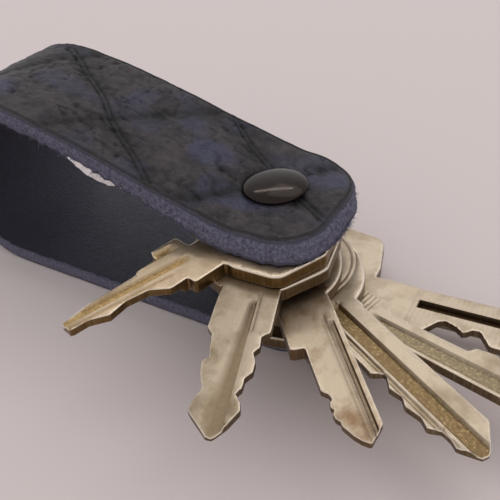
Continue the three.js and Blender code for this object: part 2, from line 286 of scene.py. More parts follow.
def edge_distance(s, w):
    """Distance in the flat strap from its outline, a rectangle with two corner radii."""
    end = np.minimum(s, STRAP_LENGTH - s)
    side = STRAP_WIDTH / 2 - np.abs(w)
    radius = np.where(w < 0, NEAR_CORNER, FAR_CORNER)
    in_corner = radius - np.hypot(radius - end, radius - side)
    return np.where((end < radius) & (side < radius), in_corner, np.minimum(end, side))


LINE_PITCH = 20.4  # between embossed lines, in both families
LINE_TILT_A = math.radians(33.4)
LINE_TILT_B = math.radians(52.0)
LINE_START_A = 70.6  # from the lower end to the line that the others are counted from
LINE_START_B = 106.2


def line_distance(s, w):
    """Distances from the nearest embossed line of each family: parallel lines at two slants, which waver."""
    a = s * math.sin(LINE_TILT_A) + w * math.cos(LINE_TILT_A) - LINE_START_A + 0.5 * lumps(s, w, 9, 31)
    b = s * math.sin(LINE_TILT_B) - w * math.cos(LINE_TILT_B) - LINE_START_B + 0.7 * lumps(s, w, 8, 32)
    half = LINE_PITCH / 2
    return np.abs((a + half) % LINE_PITCH - half), np.abs((b + half) % LINE_PITCH - half)


def embossing(s, w):
    """Height of the grain side: a double groove along one family of lines, a broad single one along the
    other, cushions between them, and worn pebbles and pits on the cushions."""
    a, b = line_distance(s, w)
    twin = -0.30 * np.exp(-((a - 0.42) / 0.2) ** 2)
    broad = -0.20 * np.exp(-(b / 0.7) ** 2)
    valley = -0.30 * np.exp(-(np.minimum(a, b) / 2.6) ** 2)
    wrinkles = 0.12 * lumps(s + 0.8 * w, w * 0.6, 1.5, 5) + 0.10 * lumps(s, w, 0.8, 6)
    swirls = -0.20 * smooth(1 - np.abs(lumps(s * 0.8, w, 2.6, 7)) * 6, 0, 1)
    pits = -0.26 * smooth(lumps(s, w, 1.0, 8), 0.5, 0.9)
    broken = smooth(lumps(s, w, 5.5, 9), -0.3, 0.3)
    return twin + broad + valley + wrinkles + broken * (swirls + pits)


def stations(spacing):
    """Places along the strap: even in its run, and closing up where the corners are rounded."""
    turn = np.radians(np.arange(0, 90.1, 3.0))
    near_end = FAR_CORNER * (1 - np.sin(turn))[::-1]
    count = int((STRAP_LENGTH - 2 * FAR_CORNER) / spacing)
    middle = np.linspace(FAR_CORNER, STRAP_LENGTH - FAR_CORNER, count)
    return np.r_[near_end, middle[1:-1], STRAP_LENGTH - near_end[::-1]]


EDGE_COLUMNS = np.array([0, 0.08, 0.2, 0.36, 0.55, 0.78, 1.02, 1.28])  # distances from either edge
STATION_SPACING = 0.42
HOLE_ROWS, HOLE_COLUMNS = 5, 7  # half the grid square that opens into a punched hole
HOLE_REACH = 2.6  # how far the grid is drawn in round a hole, in half squares
SHOULDER = 0.28  # radius of the grain side's rounded edge
CREASE, CREASE_PLACE, CREASE_WIDTH = 0.15, 0.42, 0.18  # the line pressed in beside the edge
THINNED = 0.9  # taken off the far corner of the upper leaf's end
HIGHEST_GRAIN = 0.12
CAP_SUNK, CAP_DIP, CAP_RISE = 0.06, 0.10, 3.0  # how the upper leaf is pressed down round the cap
WALL_ROWS = 7  # of points between the two skins
WALL_BELLY = 0.22
WALL_PLACE, FIBRE_PLACE = 50.0, 60.0  # across the leather's pattern, clear of the skins
SCREW_SEAT_NEAR, SCREW_SEAT_FAR = 5.05, 5.4  # the seat's wall, from the post's axis
# Where the wax has worn through to the navy dye: middle along and across, reach along and across.
NAVY_PATCHES = [
    (150.5, 1.5, 4.2, 3.6), (113, -7.5, 3.0, 4.0), (169, 6.0, 3.2, 4.5), (158, -6.5, 3.5, 2.2),
    (141, 8.5, 2.0, 3.0), (103, 4.0, 5.0, 4.0),
]


def strap_grid():
    """Places s along and w across the flat strap: columns close up at the two edges, which follow the corner
    arcs, and are even between."""
    s = stations(STATION_SPACING)
    end = np.minimum(s, STRAP_LENGTH - s)

    def corner(radius):
        return np.where(end < radius, radius - np.sqrt(np.maximum(radius ** 2 - (radius - end) ** 2, 0)), 0)

    low = (-STRAP_WIDTH / 2 + corner(NEAR_CORNER))[:, None]
    high = (STRAP_WIDTH / 2 - corner(FAR_CORNER))[:, None]
    border = EDGE_COLUMNS[-1]
    share = np.linspace(0, 1, 80)[1:-1]
    w = np.concatenate([
        low + EDGE_COLUMNS, low + border + share * (high - low - 2 * border), high - EDGE_COLUMNS[::-1],
    ], 1)
    return np.repeat(s[:, None], w.shape[1], 1), w


def punch_holes(s, w):
    """Opens the grid round each post centre: a square of it goes, the square's border moves to the hole's
    circle, and the rows beyond follow it less and less."""
    rows, columns = s.shape
    i, j = np.meshgrid(np.arange(rows), np.arange(columns), indexing="ij")
    a, b = HOLE_ROWS, HOLE_COLUMNS
    removed = np.zeros((rows - 1, columns - 1), bool)
    rings = []
    for centre in (END_MARGIN, STRAP_LENGTH - END_MARGIN):
        i0 = int(np.argmin(np.abs(s[:, 0] - centre)))
        j0 = int(np.argmin(np.abs(w[i0])))
        reach = np.maximum(np.abs(i - i0) / a, np.abs(j - j0) / b)
        t = np.clip((reach - 1) / (HOLE_REACH - 1), 0, 1)
        along = s - centre
        far = np.maximum(np.hypot(along, w), 1e-6)
        drawn = (reach <= HOLE_REACH) & (reach >= 1)
        s = np.where(drawn, centre + (1 - t) * PUNCHED_RADIUS * along / far + t * along, s)
        w = np.where(drawn, (1 - t) * PUNCHED_RADIUS * w / far + t * w, w)
        removed[i0 - a:i0 + a, j0 - b:j0 + b] = True
        ring = [(i0 - a, q) for q in range(j0 - b, j0 + b)]
        ring += [(q, j0 + b) for q in range(i0 - a, i0 + a)]
        ring += [(i0 + a, q) for q in range(j0 + b, j0 - b, -1)]
        ring += [(q, j0 - b) for q in range(i0 + a, i0 - a, -1)]
        rings.append(np.array([p * columns + q for p, q in ring]))
    return s, w, removed, rings


def grain_side(s, w, d, post, upper):
    """Points of the grain side, and how much painted shade each gets, from 0 to 1: more where the embossing,
    the rounded shoulder and the crease sink it, and most in a band along the crease. The points are the
    embossing, fading at the edge, less the rounded shoulder, the crease and the thinned corner, pressed down
    round the cap and let up over the screw's seat."""
    calm = smooth(d, 0.2, 1.6)
    shoulder = SHOULDER - np.sqrt(np.maximum(SHOULDER ** 2 - np.maximum(SHOULDER - d, 0) ** 2, 0))
    crease = CREASE * np.exp(-((d - CREASE_PLACE) / CREASE_WIDTH) ** 2)
    thin = THINNED * smooth(w, 3, 12.5) * smooth(s, STRAP_LENGTH - 16, STRAP_LENGTH - 2)
    rise = np.minimum(embossing(s, w) * (0.25 + 0.75 * calm), HIGHEST_GRAIN)
    rise = np.where(upper, rise - thin, np.minimum(rise, 0)) - shoulder - crease
    grain = on_strap(s, w, LEATHER / 2 + rise)
    pressed = UPPER_LEAF + LEATHER - CAP_SUNK - CAP_DIP * (1 - smooth(post, 4.6, 7.0))
    pressed = pressed + CAP_RISE * smooth(post, 5.45, 7.4)
    grain[..., 2] = np.where(upper & (post < 8), np.minimum(grain[..., 2], pressed), grain[..., 2])
    seat = SEAT_DEPTH * (1 - smooth(post, SCREW_SEAT_NEAR, SCREW_SEAT_FAR))
    grain[..., 2] = np.where(upper, grain[..., 2], np.maximum(np.maximum(grain[..., 2], 0.0), seat))
    # painted shade: how far the grain is sunk, and a band along the crease, darken the leather's colour
    sunk = np.clip(-(rise + np.where(upper, thin, 0)) / 0.55, 0, 1) * smooth(d, 0.0, 0.6)
    return grain, np.maximum(sunk, np.exp(-((d - 0.38) / 0.3) ** 2))


def flesh_side(s, w, d, post, upper):
    """Points of the flesh side: slightly uneven, ragged at its edge, which flares outward and droops where
    the upper leaf comes to the cap, away from the post round the end and sideways elsewhere."""
    fringe = (1 - smooth(d, 0.2, 1.6)) * np.where(upper, 1, 0.5)
    ragged = 0.20 * lumps(s, w, 0.7, 12) * fringe + 0.05 * lumps(s, w, 2.1, 13)
    spread = np.where(upper, 0.15 + 1.15 * smooth(s, STRAP_LENGTH - 38, STRAP_LENGTH - 10), 0.1)
    spread = spread * (1 - smooth(d, 0, 4.5)) * (0.15 + 0.85 * smooth(-w, -7, 1))
    spread = spread + 0.28 * lumps(s, w * 0.2, 0.8, 16) * fringe
    droop = 0.3 * smooth(s, STRAP_LENGTH - 30, STRAP_LENGTH - 8) * (1 - smooth(d, 0, 5))
    from_post = np.maximum(post, 1)
    round_end = s > STRAP_LENGTH - END_MARGIN
    sideways = np.where(round_end, w / from_post, np.sign(w))
    lengthways = np.where(round_end, (s - STRAP_LENGTH + END_MARGIN) / from_post, 0)
    flesh = on_strap(s, w + spread * sideways, -LEATHER / 2 + np.maximum(ragged, 0) - droop)
    flesh[..., 0] += spread * lengthways
    return flesh


def raw_wall(outer, inner):
    """The cut wall between the skins' edges: rows of points on straight lines across it, pushed outward by a
    slight belly and roughness. Gives the rows, their levels, the outward directions and the run round it."""
    levels = np.linspace(0, 1, WALL_ROWS + 2)[1:-1]
    step = levels[:, None, None]
    run = np.r_[0, np.cumsum(np.linalg.norm(np.diff(outer, axis=0), axis=1))]
    outward = np.cross(outer - inner, np.roll(outer, -1, 0) - np.roll(outer, 1, 0))
    outward /= np.maximum(np.linalg.norm(outward, axis=1), 1e-9)[:, None]
    depth = levels[:, None] * LEATHER
    rough = 0.10 * lumps(run[None], depth, 0.5, 14) + 0.09 * lumps(run[None], depth, 1.5, 15)
    belly = WALL_BELLY * np.sin(np.pi * levels)[:, None]
    wall = outer[None] * (1 - step) + inner[None] * step + (belly + rough)[..., None] * outward[None]
    return wall, levels, outward, run


def worn_to_dye(s, w):
    """Where the navy dye shows, from 0 to 1: round patches that fade outward, and random smaller ones."""
    navy = np.zeros_like(s)
    for middle_s, middle_w, reach_s, reach_w in NAVY_PATCHES:
        navy += np.exp(-(((s - middle_s) / reach_s) ** 2 + ((w - middle_w) / reach_w) ** 2))
    return np.clip(navy + 0.75 * smooth(lumps(s, w, 5.5, 21), -0.1, 0.7), 0, 1)


def build_strap(material):
    """Two skins, grain and flesh, on one grid of length by width, each with the two punched holes, joined by
    a raw cut wall round the outline and a wall in each hole. Gives what the loose fibres grow from."""
    s, w, removed, rings = punch_holes(*strap_grid())
    rows, columns = s.shape
    count = s.size
    d = edge_distance(s, w)
    post = np.hypot(np.minimum(s, STRAP_LENGTH - s) - END_MARGIN, w)
    upper = s > STRAP_LENGTH / 2
    grain, sunk = grain_side(s, w, d, post, upper)
    flesh = flesh_side(s, w, d, post, upper)
    outline = np.concatenate([
        np.arange(columns), np.arange(2, rows) * columns - 1, np.arange(count - 1, count - columns - 1, -1),
        np.arange(rows - 2, 0, -1) * columns,
    ])
    grain = grain.reshape(-1, 3)
    flesh = flesh.reshape(-1, 3)
    outer, inner = grain[outline], flesh[outline]
    wall, levels, outward, run = raw_wall(outer, inner)

    loops = len(outline)
    quads = lattice(rows, columns)[~removed.ravel()]
    between = 2 * count + np.arange(WALL_ROWS * loops).reshape(WALL_ROWS, loops)
    order = np.vstack([outline, between, outline + count])
    after = np.roll(order, -1, axis=1)
    walls = np.stack([order[:-1], order[1:], after[1:], after[:-1]], -1).reshape(-1, 4)
    faces = [quads, (quads + count)[:, ::-1], walls]
    for ring in rings:
        turned_ring = np.roll(ring, -1)
        faces.append(np.stack([ring, turned_ring, turned_ring + count, ring + count], 1))
    points = np.vstack([grain, flesh, wall.reshape(-1, 3)])

    # what the leather's material reads at each point: its place in the flat hide, how raw and suede-like it
    # is, the painted shade of its grooves and crease, and how far it is worn through to the dye
    flat = np.zeros((len(points), 3))
    flat[:count, 0], flat[:count, 1] = s.ravel(), w.ravel()
    flat[count:2 * count] = flat[:count]
    flat[count:2 * count, 2] = -LEATHER
    flat[2 * count:, 0] = np.tile(run, WALL_ROWS)
    flat[2 * count:, 1] = WALL_PLACE
    flat[2 * count:, 2] = -np.repeat(levels * LEATHER, loops)
    raw, suede, groove_shade, blue = np.zeros((4, len(points)))
    raw[2 * count:] = 1
    raw[outline] = 0.6
    raw[count + outline] = 1
    suede[count:2 * count] = 1
    groove_shade[:count] = sunk.ravel()
    blue[:count] = worn_to_dye(s, w).ravel()

    # only the points that faces use, and the faces turned to look outward
    used = np.unique(np.concatenate([f.ravel() for f in faces]))
    number = np.full(len(points), -1)
    number[used] = np.arange(len(used))
    faces = number[np.vstack(faces)][:, ::-1]
    made = piece(
        "leather_strap", points[used], faces.tolist(), material, "holder",
        {
            "flat": flat[used], "raw": raw[used], "suede": suede[used], "groove_shade": groove_shade[used],
            "blue": blue[used],
        },
        sharp=60,
    )
    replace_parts(made, "strap")
    return outer, inner, outward, run


def leather_material():
    """Vegetable-tanned cowhide, dyed navy through, embossed and finished with a black wax that has worn off
    the high places: nearly black brown with blue showing through, raw blue cut edges, smooth flesh side, and
    painted shade that darkens the embossed grooves and the crease nearly to black."""
    material, surface = new_material("embossed_cowhide")
    flat = node(material, "ShaderNodeAttribute", out="Vector", attribute_name="flat")
    raw, suede, groove_shade, blue = (
        node(material, "ShaderNodeAttribute", out="Fac", attribute_name=label)
        for label in ("raw", "suede", "groove_shade", "blue")
    )
    blotch, grit, fine = (
        node(material, "ShaderNodeTexNoise", dict(Vector=flat, Scale=scale, Detail=detail, Roughness=rough))
        for scale, detail, rough in ((0.3, 6, 0.62), (1.7, 6, 0.72), (7.0, 3, 0.75))
    )
    pebble = node(material, "ShaderNodeTexVoronoi", dict(Vector=flat, Scale=1.5, Randomness=1.0), "Distance")
    wax = coat(material, srgb("1a171c"), srgb("3b3539"), blotch, 0.40, 0.60)
    worn = node(material, "ShaderNodeMath", [blue, grit], operation="MULTIPLY")
    dyed = coat(material, wax, srgb("343650"), worn, 0.18, 0.55)
    scuffed = coat(material, dyed, srgb("625c5d"), grit, 0.53, 0.68, 0.75)
    flecked = coat(material, scuffed, srgb("827d7e"), fine, 0.56, 0.72, 0.55)
    # painted shade: near black in the embossed grooves and the crease
    grain_tone = coat(material, flecked, srgb("0d0c0f"), groove_shade)
    combed = node(material, "ShaderNodeMath", [grit, fine], operation="ADD")
    fibre_tone = coat(material, srgb("2c2b3a"), srgb("7e7c8f"), combed, 0.8, 1.2)
    flesh_tone = coat(material, srgb("191a27"), srgb("2b2a3b"), blotch)
    skin = coat(material, grain_tone, flesh_tone, suede)
    gloss = node(material, "ShaderNodeMapRange", [grit, 0.3, 0.7, 0.36, 0.66])
    cells = node(material, "ShaderNodeBump", dict(Height=pebble, Strength=0.35, Distance=0.0002))
    grain = node(material, "ShaderNodeBump", dict(Height=grit, Strength=0.85, Distance=0.0004, Normal=cells))
    fill(material, surface, {
        "Base Color": coat(material, skin, fibre_tone, raw),
        "Specular IOR Level": 0.32,
        "Roughness": node(material, "ShaderNodeMath", [gloss, raw], operation="MAXIMUM"),
        "Normal": node(
            material, "ShaderNodeBump", dict(Height=fine, Strength=0.8, Distance=0.00018, Normal=grain),
        ),
    })
    return material


FIBRES = 3600  # drawn, before those away from the clamped end are thinned out
FIBRE_STATIONS, FIBRE_SIDES = 4, 3
FIBRE_FALL = 0.35  # of its length that a fibre's tip hangs
FIBRE_LOWEST = UPPER_LEAF - 0.38  # of the upper leaf's fibres, which stay clear of the keys
GROUND_LOWEST = 0.02


def build_fibres(material, outer, inner, outward, run):
    """Loose fibres of the raw edge: each a three-sided tapering tube of four stations that leaves the wall
    outward and hangs by the square of its length, more of them low on the wall near the clamped end."""
    dice = np.random.default_rng(77)
    along = dice.integers(0, len(outer), FIBRES)
    on_upper = inner[:, 2] > UPPER_LEAF - 2
    near = smooth(inner[along, 0], -30, 5) * on_upper[along]
    along = along[dice.uniform(0, 1, FIBRES) < 0.25 + 0.75 * near]
    count = len(along)
    low_down = dice.uniform(0, 1, count) < 0.6
    down = np.where(low_down, dice.uniform(0.88, 1.0, count), dice.uniform(0.1, 0.9, count))
    root = outer[along] * (1 - down[:, None]) + inner[along] * down[:, None]
    root += outward[along] * 0.1 * np.sin(np.pi * down)[:, None]
    length = dice.uniform(0.25, 0.7, count) * np.where(down > 0.87, 1.3, 0.6)
    heading = outward[along] + dice.normal(0, 0.55, (count, 3))
    heading /= np.linalg.norm(heading, axis=1)[:, None]
    t = np.linspace(0, 1, FIBRE_STATIONS)
    fall = np.zeros((count, FIBRE_STATIONS, 3))
    fall[..., 2] = -FIBRE_FALL * length[:, None] * t ** 2
    line = root[:, None] + heading[:, None] * (length[:, None] * t)[..., None] + fall
    side = np.cross(heading, np.array([0.3, 0.2, 1.0]))
    side /= np.maximum(np.linalg.norm(side, axis=1), 1e-6)[:, None]
    other = np.cross(heading, side)
    turn = np.linspace(0, 2 * np.pi, FIBRE_SIDES, endpoint=False)
    ring = np.cos(turn)[:, None] * side[:, None] + np.sin(turn)[:, None] * other[:, None]
    thickness = dice.uniform(0.03, 0.06, count)[:, None] * (1 - 0.75 * t)
    points = (line[:, :, None] + ring[:, None] * thickness[..., None, None]).reshape(-1, 3)
    each = FIBRE_STATIONS * FIBRE_SIDES
    ends = np.array([[0, 1, 2], [each - 1, each - 2, each - 3]])
    start = np.arange(count)[:, None, None] * each
    faces = (start + lattice(FIBRE_STATIONS, FIBRE_SIDES, wrap=True)).reshape(-1, 4).tolist()
    faces += (start + ends).reshape(-1, 3).tolist()
    lowest = np.where(np.repeat(on_upper[along], each), FIBRE_LOWEST, GROUND_LOWEST)
    points[:, 2] = np.maximum(points[:, 2], lowest)
    flat = np.column_stack([np.repeat(run[along], each), np.full(len(points), FIBRE_PLACE), points[:, 2]])
    ones = np.ones(len(points))
    piece(
        "edge_fibres", points, faces, material, "holder",
        {"flat": flat, "raw": ones, "suede": 0 * ones, "groove_shade": 0 * ones, "blue": 0 * ones},
    )


cowhide = leather_material()
build_fibres(cowhide, *build_strap(cowhide))

# ---- Cap, screw and washers ----


def turned(profile, sides=96):
    """A solid of revolution about the post's axis: each (radius, height) of the profile carried round, with
    one point at each end on the axis. The profile runs with the outside on its right."""
    profile = np.asarray(profile, float)
    body = profile[1:-1]
    turn = np.linspace(0, 2 * np.pi, sides, endpoint=False)
    x = body[:, :1] * np.cos(turn) + PIVOT_X
    y = body[:, :1] * np.sin(turn)
    z = np.repeat(body[:, 1:], sides, 1)
    points = np.vstack([
        np.stack([x, y, z], -1).reshape(-1, 3), [PIVOT_X, 0, profile[0, 1]], [PIVOT_X, 0, profile[-1, 1]],
    ])
    count = len(body) * sides
    ring = np.arange(sides)
    after = np.roll(ring, -1)
    faces = lattice(len(body), sides, wrap=True).tolist()
    faces += np.stack([after, ring, np.full(sides, count)], 1).tolist()
    last = count - sides
    faces += np.stack([last + ring, last + after, np.full(sides, count + 1)], 1).tolist()
    return points, faces


def black_nickel():
    """Brass plated with bright black nickel, polished and slightly handled: dark warm grey mirror with fine
    scratches and a smudge of duller metal."""
    material, surface = new_material("black_nickel_plate")
    place = node(material, "ShaderNodeTexCoord", out="Object")
    smear = node(material, "ShaderNodeTexNoise", dict(Vector=place, Scale=900, Detail=5, Roughness=0.6))
    scratch = node(material, "ShaderNodeTexNoise", dict(Vector=place, Scale=5200, Detail=2))
    fill(material, surface, {
        "Base Color": coat(material, srgb("272220"), srgb("302a27"), smear),
        "Metallic": 1,
        "Roughness": node(material, "ShaderNodeMapRange", [smear, 0.3, 0.7, 0.07, 0.16]),
        "Normal": node(material, "ShaderNodeBump", dict(Height=scratch, Strength=0.12, Distance=0.00002)),
    })
    return material


CAP_ROLL = 0.16  # radius of the cap's rolled lower edge
CAP_RIM = 0.3  # height of the cap's upright edge
DOME_INSET, DOME_START, DOME_RISE = 0.18, 0.34, 0.92
DOME_REACH = 0.97  # share of the half circle that the dome's curve uses
DOME_POWER = 1.25  # flattens the dome's edge
BORE_RADIUS, BORE_TOP = 1.65, 8.35  # the barrel's bore


def build_cap(material):
    """Post and cap in one lathe profile: bored barrel, flat underside, rolled edge and shallow dome, whose
    height is a circle's, to a power, over the share of its radius."""
    share = np.linspace(1, 0, 26)[:-1]
    dome_low = CAP_LOW + DOME_START
    circle = np.sqrt(np.maximum(1 - (share * DOME_REACH) ** 2, 0))
    roll = np.linspace(-np.pi / 2, 0, 7)
    profile = [(0, BORE_TOP), (BORE_RADIUS, BORE_TOP), (BORE_RADIUS, SEAT_DEPTH)]
    profile += [(BARREL_RADIUS, SEAT_DEPTH), (BARREL_RADIUS, CAP_LOW)]
    profile += [
        (CAP_RADIUS - CAP_ROLL + CAP_ROLL * math.cos(t), CAP_LOW + CAP_ROLL + CAP_ROLL * math.sin(t))
        for t in roll
    ]
    profile += [(CAP_RADIUS, CAP_LOW + CAP_RIM)]
    profile += list(zip((CAP_RADIUS - DOME_INSET) * share, dome_low + DOME_RISE * circle ** DOME_POWER))
    profile += [(0, dome_low + DOME_RISE)]
    points, faces = turned(profile)
    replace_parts(piece("domed_cap", points, faces, material, "holder", sharp=50), "post")


nickel = black_nickel()
build_cap(nickel)


def washer_steel():
    """Blackened spring steel, stamped and tumbled: dark grey with rubbed lighter patches."""
    material, surface = new_material("blackened_steel")
    place = node(material, "ShaderNodeTexCoord", out="Object")
    rub = node(material, "ShaderNodeTexNoise", dict(Vector=place, Scale=1500, Detail=4))
    fill(material, surface, {
        "Base Color": coat(material, srgb("2c2a29"), srgb("6b6663"), rub),
        "Metallic": 1,
        "Roughness": node(material, "ShaderNodeMapRange", [rub, 0.0, 1.0, 0.3, 0.6]),
    })
    return material


steel = washer_steel()
for turned_part in ("screw", "lower_washer", "upper_washer", "spacer_1", "spacer_2"):
    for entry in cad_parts[turned_part].material_slots:
        entry.material = nickel if turned_part == "screw" else steel

# ---- Keys ----
# x runs from the post along the blade and y to its left. Level and swing (degrees) place a key on the post.
# An angular bow's share is its right half's width over its left half's. The collar is (its end, left, right),
# the blade (left, right, tip, length of its point) and a notch before the collar (start, end, its y). Bitting
# is (x, depth) along an edge. A groove is (start x, its y, width), (end x, its y, width), depth, width of its
# sloping walls and lean: 0 is a flat floor, 1 slopes gently from the right and steeply from the left. A
# rebate thins the blade from below between an edge (1 left, -1 right) and a line along it: (side, the line's
# y, depth), and a line beyond the other edge thins all of it. Rings are pressed circles: (middle x, y,
# radius, depth, width). Milled is the stretch of x with cutter marks, and milling their strength. Floor is
# the grooves' colour, and pits is how far specks show in them.
# These grooves and rings are finer than the CAD's, and the last four blades are thinned over their whole
# width, where the CAD's are thinned over part of it.

KEYS = {
    "wide_head_key": dict(
        level=3.56, swing=3.4, metal="pale", milling=0.9, milled=(22.8, 50), floor="4a3a2c", pits=0.2,
        head=dict(kind="angular", half=15.7, share=1, middle=0, front=15.3, slope=1.6, back=-8.5, round=2.2),
        collar=(22.5, 3.9, -5.6), blade=(3.6, -5.4, 45.5, 3),
        right=[(25.6, 0), (27.3, 2.6), (28.3, 3.2), (30, 2.5), (31.3, 1.5), (32.4, 2.7), (33.4, 2.8),
               (35.3, 0.2), (37, 0.2), (38.6, 2.4), (40.2, 2.4), (42, 0.6)],
        grooves=[((23.4, 0, 1.7), (46.5, -0.1, 1.7), 0.9, 0.1, 0)],
        rebates=[(-1, -1.8, 0.95)],
    ),
    "slim_key": dict(
        level=5.84, swing=-12.5, metal="pale", milling=0.8, milled=(12, 19), floor="857860", pits=0.5,
        head=dict(kind="oval", x=10.5, y=9.5, middle_x=2, middle=-1),
        collar=(18, 1.9, -4.8), blade=(1.8, -4.8, 48, 3),
        left=[(20.5, 0), (22, 1.9), (34.4, 1.8), (35, 0.6), (38, 0.1), (39.5, 1.6), (42, 1.6), (43.5, 0.3)],
        grooves=[((19.5, -2.9, 1.7), (49, -2.9, 1.8), 0.45, 0.5, 0)],
        rebates=[(-1, -3.6, 0.6)],
    ),
    "round_head_key": dict(
        level=8.12, swing=-29.6, metal="pale", milling=0.0, milled=(0, 50), floor="7c6849", pits=0.55,
        head=dict(kind="oval", x=15, y=11.5, middle_x=3.2, middle=-1.1),
        collar=(19.4, 2.8, -5.0), blade=(2.4, -4.8, 47.6, 3.4),
        right=[(28.5, 0.2), (30.4, 0.1), (31.4, 1.8), (33.7, 0.5), (35.6, 1), (37, 0.3), (39.4, 0.8),
               (41.1, 0.3), (42.3, 1.6), (43.8, 1.6), (45, 1.3), (47.6, 3)],
        rings=[(3.2, -1.1, 10.6, 0.14, 0.25), (3.2, -1.1, 11.4, 0.12, 0.2)],
        grooves=[((15.6, -1.3, 1.7), (49, -1.3, 1.7), 0.55, 0.45, 0),
                 ((16.4, -3.4, 0.35), (49, -3.4, 0.35), 0.22, 0.25, 0)],
        rebates=[(-1, 9, 1.05)],
    ),
    "small_flat_key": dict(
        level=10.40, swing=-48.7, metal="rosy", milling=0.0, milled=(0, 50), floor="6e5f4c", pits=0.3,
        head=dict(kind="oval", x=12.5, y=8.6, middle_x=4.4, middle=0),
        collar=(25.6, 3.8, -4.1), blade=(3.8, -2.1, 42.4, 2.4),
        right=[(33.4, 0.1), (34.1, 0.9), (35, 1.1), (35.5, 0.6), (36.2, 0.6), (36.7, 1.0), (37.3, 0.5),
               (38, 0.7), (38.6, 1.2), (39.2, 1.1), (40, 1.6), (40.8, 2.0), (41.8, 2.8), (42.4, 3.6)],
        grooves=[((21.3, 2.75, 0.4), (44, 2.75, 0.35), 0.38, 0.16, 0),
                 ((19.5, 1.7, 0.3), (44, 1.95, 0.3), 0.14, 0.3, 0)],
        rebates=[(-1, 9, 1.15)],
    ),
    "double_bitted_key": dict(
        level=13.94, swing=-70.4, metal="dull", milling=0.0, milled=(0, 50), floor="7c6c57", pits=0.1,
        head=dict(kind="angular", half=11.4, share=1, middle=-0.9, front=17.2, slope=4.2, back=-8, round=1.6),
        collar=(18.8, 3.4, -5.2), blade=(3.4, -5.2, 42.8, 3.6),
        left=[(25.8, 0), (26.6, 1.05), (28.6, 0.9), (29.5, 1.6), (31.1, 1), (32.8, 1), (33.9, 1.8),
              (35.5, 1.8), (36.3, 2.5), (37.6, 1.6), (38.8, 1.3), (41, 2.4), (42.8, 3.8)],
        right=[(25.6, 0), (26.8, 0.9), (29.3, 1.2), (31.1, 1.6), (31.5, 0.7), (33.7, 1.1), (36.1, 1.9),
               (38.5, 1.2), (39.6, 1.1), (42.8, 4)],
        grooves=[((19.8, -0.1, 1.0), (44, -1.0, 3.0), 0.62, 0.1, 1),
                 ((17.8, 0.75, 0.2), (26, 0.75, 0.2), 0.1, 0.2, 0)],
        rebates=[(1, -9, 1.1)],
    ),
    "double_groove_key": dict(
        level=16.22, swing=-104.8, metal="gold", milling=0.0, milled=(0, 50), floor="a98f62", pits=0.55,
        head=dict(kind="angular", half=14.1, share=0.62, middle=0, front=15, slope=1.8, back=-7.6, round=1.8),
        collar=(20.6, 4.2, -6.2), blade=(2.6, -4.7, 37.8, 1), notch=(12.2, 15.6, -3.2),
        left=[(23.7, 0), (25.9, 2.1), (29.4, 2.7), (32.5, 2.1), (35.1, 3.5), (37.8, 3.6)],
        right=[(23.8, 0), (25.3, 1.1), (37.8, 1.1)],
        grooves=[((17.2, -0.9, 1.0), (39, -3.2, 1.2), 0.5, 0.35, 0),
                 ((17.0, -4.6, 1.1), (30, -5.4, 1.3), 0.45, 0.4, 0),
                 ((21.5, 0.55, 0.3), (39, -1.7, 0.3), 0.22, 0.2, 0)],
        rebates=[(1, -9, 0.95)],
    ),
}
BOW_FRONT = 0.4  # half width of an angular bow's front, as a share of its full half width
# An angular bow behind its shoulder: share of its length, share of its half width.
BOW_SHAPE = np.array([(0, 0.82), (0.05, 0.9), (0.42, 1.0), (0.58, 0.88), (0.86, 0.76), (1, 0.36)])
NOTCH_CORNER = 1.2  # of the bow, cut away before the notch
REBATE_SLOPE, REBATE_FADE = 0.4, 0.6  # lengths of a rebate's slope at its line and at its start


def rounded(corners, radii, steps=6):
    """A closed outline with rounded corners: each is a quadratic Bezier curve between points on its two
    edges, which never takes more than 0.45 of an edge."""
    corners = np.asarray(corners, float)
    radii = np.asarray(radii, float)
    before = np.roll(corners, 1, 0) - corners
    after = np.roll(corners, -1, 0) - corners
    long_before = np.linalg.norm(before, axis=1)
    long_after = np.linalg.norm(after, axis=1)
    u = before / long_before[:, None]
    v = after / long_after[:, None]
    opening = np.arccos(np.clip((u * v).sum(1), -1, 1))
    reach = radii / np.maximum(np.tan(opening / 2), 1e-3)
    reach = np.minimum(reach, 0.45 * np.minimum(long_before, long_after))
    t = np.linspace(0, 1, steps)[None, :, None]
    start = (corners + u * reach[:, None])[:, None]
    stop = (corners + v * reach[:, None])[:, None]
    arcs = (1 - t) ** 2 * start + 2 * t * (1 - t) * corners[:, None] + t ** 2 * stop
    return arcs.reshape(-1, 2)


def even(outline, spacing):
    """The closed outline with extra points on its long edges, and none closer than a fifth of the spacing."""
    closed = np.vstack([outline, outline[:1]])
    length = np.r_[0, np.cumsum(np.linalg.norm(np.diff(closed, axis=0), axis=1))]
    wanted = np.sort(np.r_[length[:-1], np.arange(0, length[-1], spacing)])
    keep = np.r_[True, np.diff(wanted) > spacing / 5] & (wanted < length[-1] - spacing / 5)
    wanted = wanted[keep]
    return np.stack([np.interp(wanted, length, closed[:, k]) for k in (0, 1)], 1)


def head_outline(head):
    """The bow of a key as an even closed line from its front middle round by the left."""
    if head["kind"] == "oval":
        turn = np.linspace(0, 2 * np.pi, 400, endpoint=False)
        x = head["middle_x"] + head["x"] * np.cos(turn)
        return np.stack([x, head["middle"] + head["y"] * np.sin(turn)], 1)
    shoulder = head["front"] - head["slope"]
    behind = (shoulder, 0) + BOW_SHAPE * (head["back"] - shoulder, head["half"])
    half = np.vstack([(head["front"], BOW_FRONT * head["half"]), behind])
    corners = np.vstack([half, half[::-1] * (1, -head["share"])])
    line = even(rounded(corners, np.full(len(corners), head["round"])), 0.25) + (0, head["middle"])
    first = np.argmin(np.abs(line[:, 1] - head["middle"]) + 100 * (line[:, 0] < 0))
    return np.roll(line, -first, 0)


